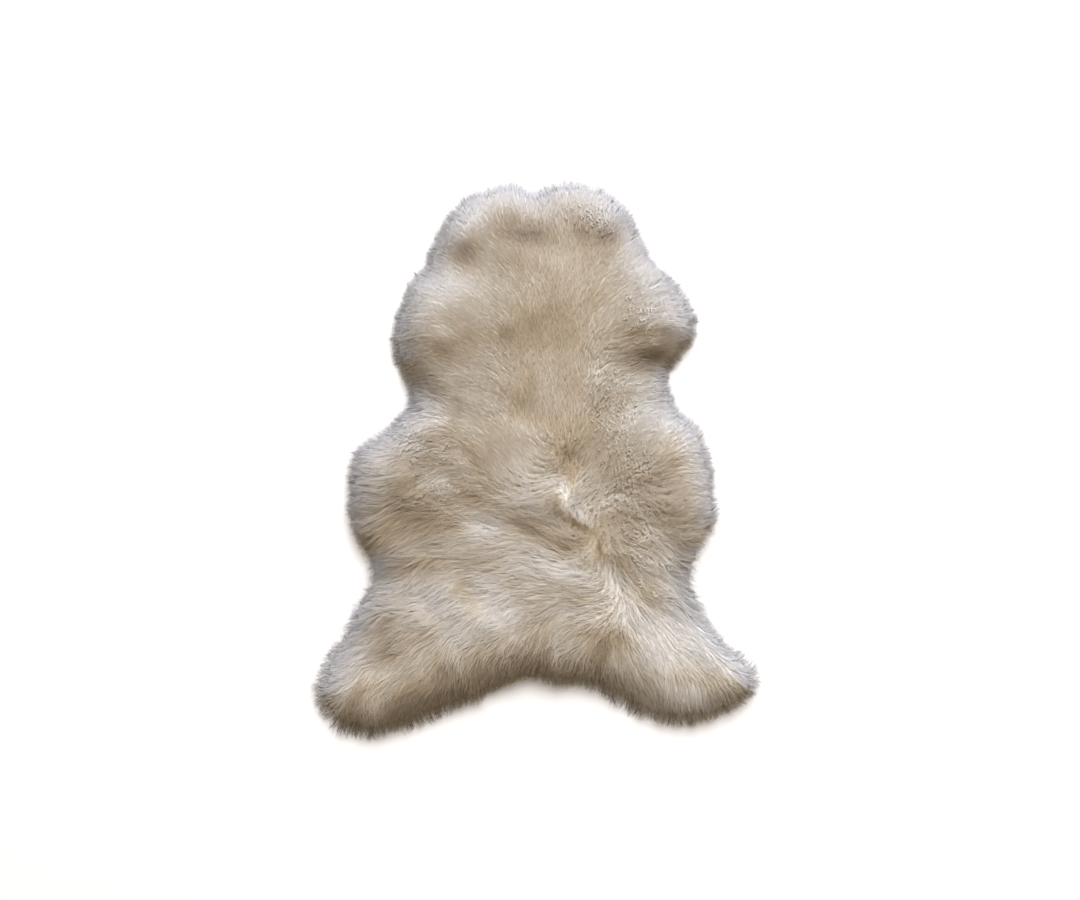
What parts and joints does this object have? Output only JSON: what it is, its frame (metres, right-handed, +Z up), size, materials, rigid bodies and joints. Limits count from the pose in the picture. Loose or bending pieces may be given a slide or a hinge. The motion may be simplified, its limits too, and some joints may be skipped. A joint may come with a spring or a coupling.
{
  "type": "sheepskin rug",
  "caption": "Natural cream sheepskin rug lying flat, long lumpy wool with pointed locks round its rim and a flat underside.",
  "frame": {"origin": "on the floor, under the middle of the rug's bounding box", "axes": "+Z up out of the wool, +Y towards the nose end of the skin, +X towards the right legs seen from above with the nose up"},
  "size_m": [0.7592, 0.9492, 0.0644],
  "materials": {
    "wool": "long soft cream wool, matte"
  },
  "bodies": {
    "root": {"sheepskin": "wool"}
  },
  "joints": []
}
